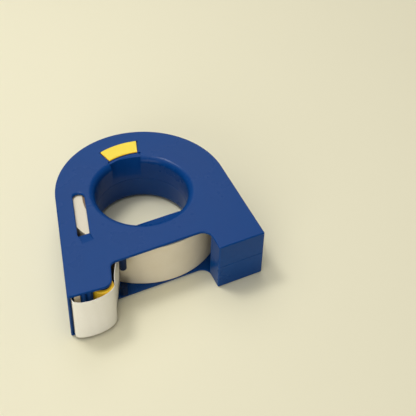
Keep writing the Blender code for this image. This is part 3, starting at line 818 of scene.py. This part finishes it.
# ---- tape roll, core and loose tape ----
tape = {
    "low": 0.0020, "high": 0.0380, "rollHigh": 0.0374, "radius": 0.0566, "coreInner": 0.0381,
    "coreWall": 0.0046, "gap": 0.0003, "step": 0.000045, "layers": 26, "coreLayers": 8, "edge": 0.0002,
    "thick": 0.00028, "lean": 0.0004, "looseLength": 0.030, "tear": 0.00035, "ripple": 0.00006,
    "across": 40, "endGap": 0.00132, "peel": math.radians(-130.3),
    "shares": ((-3.149, -0.622), (-3.108, -0.932), (-2.851, -1.135), (-2.514, -1.297), (-1.919, -1.432),
               (-1.162, -1.473), (-0.392, -1.378), (0.216, -1.176), (0.680, -0.890), (0.970, -0.530),
               (1.095, -0.135), (1.235, 0.250), (1.560, 0.950), (2.304, 2.280)),
}


def storeLengths(obj, alongValues, acrossValues):
    for label, values in (("alongTape", alongValues), ("acrossTape", acrossValues)):
        kept = obj.data.attributes.new(label, "FLOAT", "POINT")
        kept.data.foreach_set("value", values)


def woundRing(inner, outer, layers, step, turns):
    # a roll's section: its flat sides are uneven from layer to layer
    radii = [inner + (outer - inner) * i / layers for i in range(layers + 1)]
    wobble = [step * (math.sin(i * 2.4) * 0.6 + math.sin(i * 5.1 + 1) * 0.4) for i in range(layers + 1)]
    soft = tape["edge"]
    upperSide = [(r, tape["rollHigh"] - step * 2 + w) for r, w in zip(radii, wobble)]
    upperSide[0] = (inner, tape["rollHigh"] - soft)
    lowerSide = [(r, tape["low"] + step * 2 - w) for r, w in zip(radii, wobble)][::-1]
    lowerSide[-1] = (inner, tape["low"] + soft)
    upperSide[-1] = (outer - soft, upperSide[-1][1])
    lowerSide[0] = (outer - soft, lowerSide[0][1])
    face = [(outer, tape["rollHigh"] - soft * 1.5), (outer, tape["low"] + soft * 1.5)]
    profile = upperSide + face + lowerSide
    return held(spun(profile, hole["x"], hole["y"], turns))


def storeTurns(obj, radius):
    # lengths round the hub and up it, for the creping
    flat = [v.co - Vector((hole["x"], hole["y"], 0)) for v in obj.data.vertices]
    storeLengths(obj, [math.atan2(p.y, p.x) * radius for p in flat], [p.z for p in flat])


coreOuter = tape["coreInner"] + tape["coreWall"]
roll = woundRing(coreOuter + tape["gap"] * 0.1, tape["radius"], tape["layers"], tape["step"], 180)
storeTurns(roll, tape["radius"])
piece(roll, "tapeRoll", "roll", rollPaper, ["tape_roll"], sharp=50)
core = woundRing(tape["coreInner"], coreOuter, tape["coreLayers"], tape["step"] * 2, 144)
storeTurns(core, tape["coreInner"])
piece(core, "rollCore", "roll", cardboard, ["roll_core"], sharp=50)


def smoothPath(points, steps):
    spots = [Vector(p) for p in points]
    spots = [spots[0] * 2 - spots[1]] + spots + [spots[-1] * 2 - spots[-2]]
    path = []
    for last, here, ahead, later in zip(spots, spots[1:], spots[2:], spots[3:]):
        for i in range(steps):
            t = i / steps
            path.append((here * 2 + (ahead - last) * t + (last * 2 - here * 5 + ahead * 4 - later) * t * t
                         + (here * 3 - last - ahead * 3 + later) * t ** 3) / 2)
    return path + [spots[-2]]


def looseTape():
    r = roller["radius"]
    route = [(roller["x"] + r * x, roller["y"] + r * y) for x, y in tape["shares"]]
    far = tape["radius"] + tape["endGap"]
    route.append((hole["x"] + far * math.cos(tape["peel"]), hole["y"] + far * math.sin(tape["peel"])))
    path = smoothPath(route, 9)
    lengths = [0.0]
    for a, b in zip(path, path[1:]):
        lengths.append(lengths[-1] + (b - a).length)
    across = tape["across"]
    shape = bmesh.new()
    rows, alongValues, acrossValues = [], [], []
    for i, here in enumerate(path):
        row = []
        ahead = (path[min(i + 1, len(path) - 1)] - path[max(i - 1, 0)]).normalized()
        loose = max(0.0, math.sin(math.pi * min(lengths[i] / tape["looseLength"], 1)))
        for j in range(across + 1):
            share = j / across
            z = tape["low"] + (tape["high"] - tape["low"]) * share
            spot = Vector((here.x, here.y, z))
            spot.y += tape["lean"] * loose * (1 - share)
            if i == 0 and j % 2:
                spot.xy += ahead * tape["tear"]
            wave = tape["ripple"] * loose * math.sin(lengths[i] * 900 + share * 5)
            spot.xy += Vector((-ahead.y, ahead.x)) * wave
            row.append(shape.verts.new(spot))
            alongValues.append(lengths[i])
            acrossValues.append(z)
        rows.append(row)
    for a, b in zip(rows, rows[1:]):
        for j in range(across):
            shape.faces.new((a[j], a[j + 1], b[j + 1], b[j]))
    mesh = bpy.data.meshes.new("shape")
    shape.to_mesh(mesh)
    shape.free()
    web = held(mesh)
    storeLengths(web, alongValues, acrossValues)
    return web


web = piece(looseTape(), "looseTape", "housing", paper, ["tape_web"], weighted=False)
skin = web.modifiers.new("thickness", "SOLIDIFY")
skin.thickness = tape["thick"]
skin.offset = 0
print("tape made")

# ---- roller, bushes and axle ----
r = roller
sleeveLow, sleeveHigh = r["low"] + r["sleeveInset"], r["high"] - r["sleeveInset"]
sleeve = softProfile([(r["radius"], sleeveHigh), (r["radius"], sleeveLow), (r["bore"], sleeveLow),
                      (r["bore"], sleeveHigh)], r["round"], 6)
piece(held(spun(sleeve, r["x"], r["y"], 96)), "rollerSleeve", "roller", rollerYellow,
      ["roller_sleeve"], sharp=50)
tube, inner = r["bore"] - 0.00015, r["axle"] + r["play"]
for name, nodeName, start, way in (("lowerBush", "roller_bush_lower", r["low"], 1),
                                   ("upperBush", "roller_bush_upper", r["high"], -1)):
    end, flangeEnd = start + way * r["bush"], start + way * r["flangeThick"]
    section = [(inner, end), (tube, end), (tube, flangeEnd), (r["flange"], flangeEnd), (r["flange"], start),
               (inner, start)]
    piece(held(spun(softProfile(section, r["bushEdge"]), r["x"], r["y"], 64)), name, "roller",
          darkPlastic, [nodeName], sharp=50)
low, high, edge = r["axleLow"], r["axleHigh"], r["axleEdge"]
axle = [(0.00001, high), (r["axle"] - edge, high), (r["axle"], high - edge), (r["axle"], low + edge),
        (r["axle"] - edge, low), (0.00001, low)]
axlePin = held(spun(axle, r["x"], r["y"], 48, closed=False))
piece(axlePin, "rollerAxle", "housing", steel, ["roller_axle"])
print("roller made")

# ---- cutter blade, strip, clip, rest and guide posts ----
cutting = {
    "thick": 0.0004, "top": -0.0630, "tip": -0.0752, "tooth": 0.0011, "teeth": 20, "bevel": 0.0005,
    "gap": 0.0003, "stripGap": 0.0017, "stripThick": 0.0040, "stripTop": -0.0660, "stripBottom": -0.0750,
    "stripLow": 0.0067, "stripEdge": 0.0003, "ribPitch": 0.0009, "ribDepth": 0.00014,
    "clipLow": 0.0030, "clipRound": 0.0004, "clipEdge": 0.0003,
}
rest = {
    "pitch": 0.0038, "top": -0.0650, "valley": -0.0738, "crest": -0.0754, "crests": 2, "fullness": 0.42,
    "rollerGap": 0.0008, "low": 0.0019, "high": 0.0381,
}
bladeIn = housing["wall"] + cutting["gap"]
stripIn = bladeIn + cutting["thick"] + cutting["stripGap"]
stripOut = stripIn + cutting["stripThick"]
restIn = stripOut + cutting["gap"]
stripHigh = housing["height"] - housing["plate"] - cutting["gap"]


def blade():
    k = cutting
    length = (k["top"] - k["tip"]) / math.cos(housing["leftLean"])
    wide = tape["high"] - tape["low"]
    front = [(tape["low"], 0.0), (tape["low"], -length + k["tooth"])]
    for i in range(k["teeth"]):
        start = tape["low"] + wide * i / k["teeth"]
        front += [(start + wide / k["teeth"] / 2, -length), (start + wide / k["teeth"], -length + k["tooth"])]
    front.append((tape["high"], 0.0))
    back = [(z, s if s == 0 else s + k["bevel"]) for z, s in front]
    alongWall = Vector((math.sin(housing["leftLean"]), math.cos(housing["leftLean"]), 0))
    inward = Vector((math.cos(housing["leftLean"]), -math.sin(housing["leftLean"]), 0))
    start = Vector((leftX(k["top"], bladeIn), k["top"], 0))

    def sheet(points, depth):
        return [start + alongWall * s + inward * depth + Vector((0, 0, z)) for z, s in points]

    return held(loft([sheet(front, 0), sheet(front, k["thick"] * 0.3), sheet(back, k["thick"])]))


def leaningLoop(topY, bottomY, near, far, soft):
    return roundedLoop([(leftX(bottomY, near), bottomY, soft), (leftX(bottomY, far), bottomY, soft),
                        (leftX(topY, far), topY, soft), (leftX(topY, near), topY, soft)], math.radians(20))


def ribbedStrip():
    # fine ribs run across the strip's lower face
    k = cutting
    rings = []
    count = round((stripHigh - k["stripLow"]) / k["ribPitch"])
    for i in range(count):
        for share, depth in ((0.0, 1), (0.2, 0), (0.8, 0), (1.0, 1)):
            z = k["stripLow"] + (stripHigh - k["stripLow"]) * (i + share) / count
            if share == 1.0 and i < count - 1:
                continue
            low = k["stripBottom"] + depth * k["ribDepth"]
            rings.append(ring(leaningLoop(k["stripTop"], low, stripIn, stripOut, k["stripEdge"]), z))
    return held(loft(rings))


def restLoop():
    # two rounded crests side by side
    right = roller["x"] - roller["radius"] - rest["rollerGap"]
    valley, high = rest["valley"], rest["crest"] - rest["valley"]
    left = leftX(valley, restIn)
    points = [(leftX(rest["top"], restIn), rest["top"]), (left, valley)]
    for i in range(rest["crests"]):
        middle = left + rest["pitch"] * (i + 0.5)
        points += [(middle + x * rest["pitch"] * rest["fullness"], valley - y * high)
                   for x, y in arc(0, 0, 1, math.pi, 2 * math.pi, math.radians(12))]
    return points + [(right, valley), (right, rest["top"])]


piece(blade(), "cutterBlade", "housing", steel, ["cutter_blade"], sharp=20, weighted=False)
piece(ribbedStrip(), "bladeStrip", "housing", creamPlastic, ["blade_strip"], sharp=50)
clipLoop = leaningLoop(cutting["stripTop"], cutting["stripBottom"], stripIn, stripOut, cutting["clipRound"])
clip = held(loft(filleted(clipLoop, cutting["clipLow"], cutting["stripLow"] - cutting["gap"],
                          cutting["clipEdge"], cutting["clipEdge"], 3)))
piece(clip, "bladeClip", "housing", steel, ["blade_clip"])
piece(held(loft(filleted(restLoop(), rest["low"], rest["high"], 0.0, 0.0))), "tapeRest", "housing",
      bluePlastic, ["tape_rest"], sharp=32)

post = {
    "x": -0.0393, "y": -0.0560, "radius": 0.00255, "upper": 0.0273, "upperEnd": 0.03825,
    "lower": 0.0106, "lowerEnd": 0.00175, "round": 0.0009,
}


def guidePost(low, high, soft):
    p = post
    section = [(0.00001, high)]
    for i in range(6):
        swing = math.pi / 2 * i / 5
        if soft > 0:
            across, up = soft * (math.sin(swing) - 1), soft * (math.cos(swing) - 1)
            section.append((p["radius"] + across, high + up))
        else:
            section.append((p["radius"], high))
    section.append((p["radius"], (low + high) / 2))
    for i in range(6):
        swing = math.pi / 2 * i / 5
        if soft < 0:
            section.append((p["radius"] + soft - soft * math.cos(swing), low - soft + soft * math.sin(swing)))
        else:
            section.append((p["radius"], low))
    section.append((0.00001, low))
    clean = [s for i, s in enumerate(section) if not i or s != section[i - 1]]
    return held(spun(clean, p["x"], p["y"], 48, closed=False))


upperPost = guidePost(post["upper"], post["upperEnd"], -post["round"])
piece(upperPost, "upperPost", "cover", darkPlastic, ["upper_guide_post"], sharp=40)
lowerPost = guidePost(post["lowerEnd"], post["lower"], post["round"] / 3)
piece(lowerPost, "lowerPost", "housing", darkPlastic, ["lower_guide_post"], sharp=40)
print("small pieces made")

# ---- floor and light ----
stageLook = {
    "floor": (0.90, 0.855, 0.635), "mottleShare": 0.985, "mottle": 6.0, "span": 3.0,
    "world": 0.17, "skyTint": (1.0, 0.985, 0.95),
}
floor = held(loft([[Vector((x * stageLook["span"], y * stageLook["span"], z)) for x, y in squareCorners]
                   for z in (-0.01, -0.0001)]), "floor")
ground, tree, shader = newMaterial("paleFloor", 0.85, specular=0.2)
place = node(tree, "ShaderNodeTexCoord")
mottle = node(tree, "ShaderNodeTexNoise", {"Scale": stageLook["mottle"], "Detail": 2.0})
link(tree, place.outputs["Object"], mottle.inputs["Vector"])
shaded = tuple(v * stageLook["mottleShare"] for v in stageLook["floor"])
tone = blended(tree, mottle.outputs["Fac"], shaded, stageLook["floor"])
link(tree, tone, shader.inputs["Base Color"])
floor.data.materials.append(ground)

world = bpy.data.worlds.new("studio")
bpy.context.scene.world = world
world.use_nodes = True
sky = world.node_tree.nodes["Background"]
sky.inputs["Color"].default_value = (*stageLook["skyTint"], 1)
sky.inputs["Strength"].default_value = stageLook["world"]

lamps = {
    "overhead": {"at": (-0.35, 0.15, 1.35), "size": 1.60, "power": 9.0, "tint": (1.0, 0.99, 0.97)},
    "key": {"at": (-0.25, 0.34, 1.10), "size": 0.28, "power": 3.8, "tint": (1.0, 0.985, 0.96)},
    "fill": {"at": (-0.90, -0.95, 0.45), "size": 0.90, "power": 6.0, "tint": (1.0, 0.99, 0.98)},
    "back": {"at": (0.30, 0.98, 1.25), "size": 0.95, "power": 4.4, "tint": (1.0, 0.99, 0.98)},
}
for label, lamp in lamps.items():
    data = bpy.data.lights.new(label, "AREA")
    data.size = lamp["size"]
    data.energy = lamp["power"]
    data.color = lamp["tint"]
    made = bpy.data.objects.new(label, data)
    bpy.context.scene.collection.objects.link(made)
    made.location = lamp["at"]
    made.rotation_euler = (-Vector(lamp["at"])).to_track_quat("-Z", "Y").to_euler()

settings = bpy.context.scene.view_settings
settings.view_transform = "Standard"
print("stage made")
